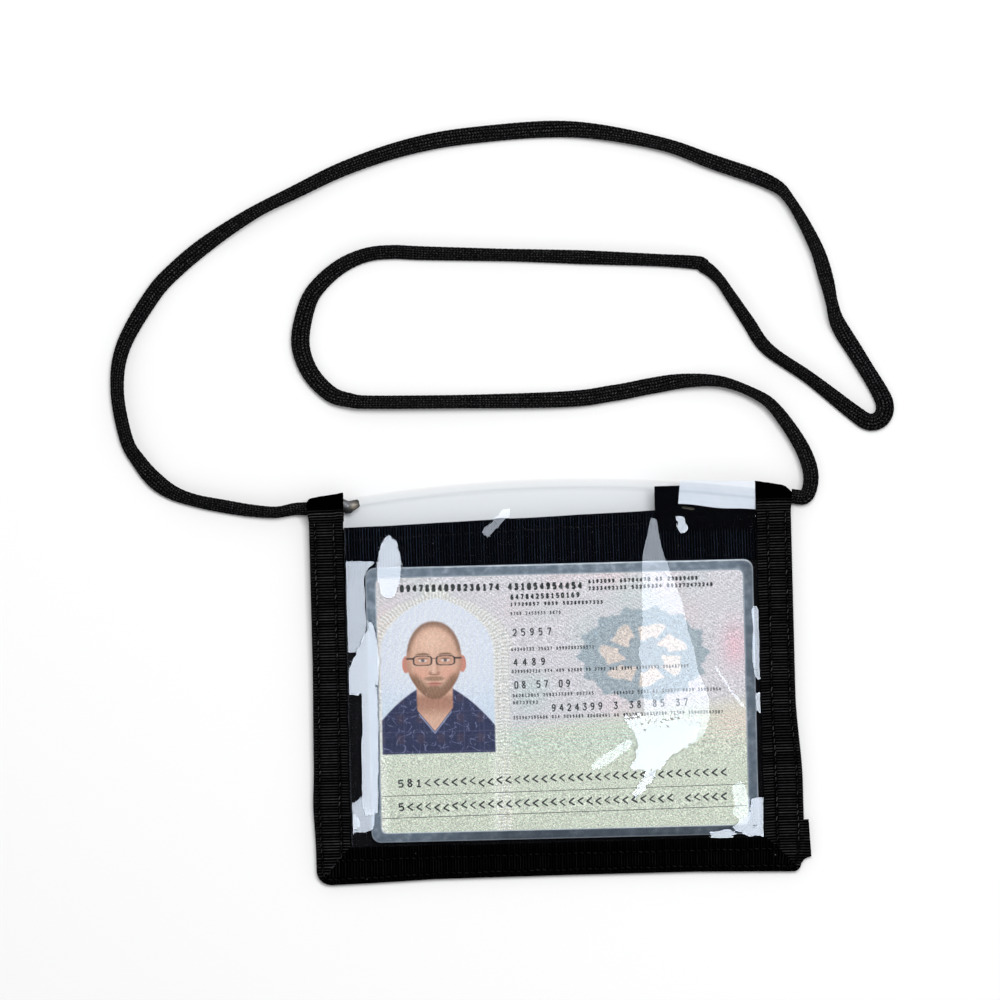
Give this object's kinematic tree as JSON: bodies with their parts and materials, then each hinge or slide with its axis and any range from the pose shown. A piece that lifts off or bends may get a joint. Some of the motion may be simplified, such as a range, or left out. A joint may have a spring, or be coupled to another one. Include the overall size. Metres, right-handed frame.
{
  "type": "id holder",
  "caption": "Clear-fronted card pocket with taped and sewn edges, an open mouth, a laminated card that slides in it and a long cord to wear it round the neck.",
  "frame": {"origin": "bottom centre of the holder's box, without the neck cord, on the surface that it lies on", "axes": "the holder lies on its back: +X to the right as seen from its clear front, +Y towards the mouth and the cord, +Z out of the clear front"},
  "size_m": [0.2113, 0.2045, 0.0077],
  "materials": {
    "edge_tape": "black ribbed polyester tape, matt with a faint sheen on the ribs",
    "panel_cloth": "smooth black coated cloth",
    "clear_film": "clear soft vinyl film, glossy, faintly blue",
    "neck_cord": "black braided cord, matt",
    "woven_label": "black woven label tape",
    "care_label": "white satin label tape, blank",
    "laminate": "clear laminating film, glossy",
    "card_print": null
  },
  "bodies": {
    "holder": {"back_panel": "panel_cloth", "top_binding": "edge_tape", "window_film": "clear_film", "left_binding": "edge_tape", "right_binding": "edge_tape", "bottom_binding": "edge_tape", "tape_end_tab": "edge_tape", "woven_label": "woven_label", "care_label": "care_label", "left_cord_tail": "neck_cord", "right_cord_tail": "neck_cord", "neck_cord": "neck_cord"},
    "card": {"card_laminate": "laminate", "card_print": "card_print"}
  },
  "joints": [
    {"name": "card_slide", "type": "slide", "parent": "holder", "child": "card", "axis": [0, 0.9998, 0.0209], "range_m": [0, 0.1]}
  ]
}
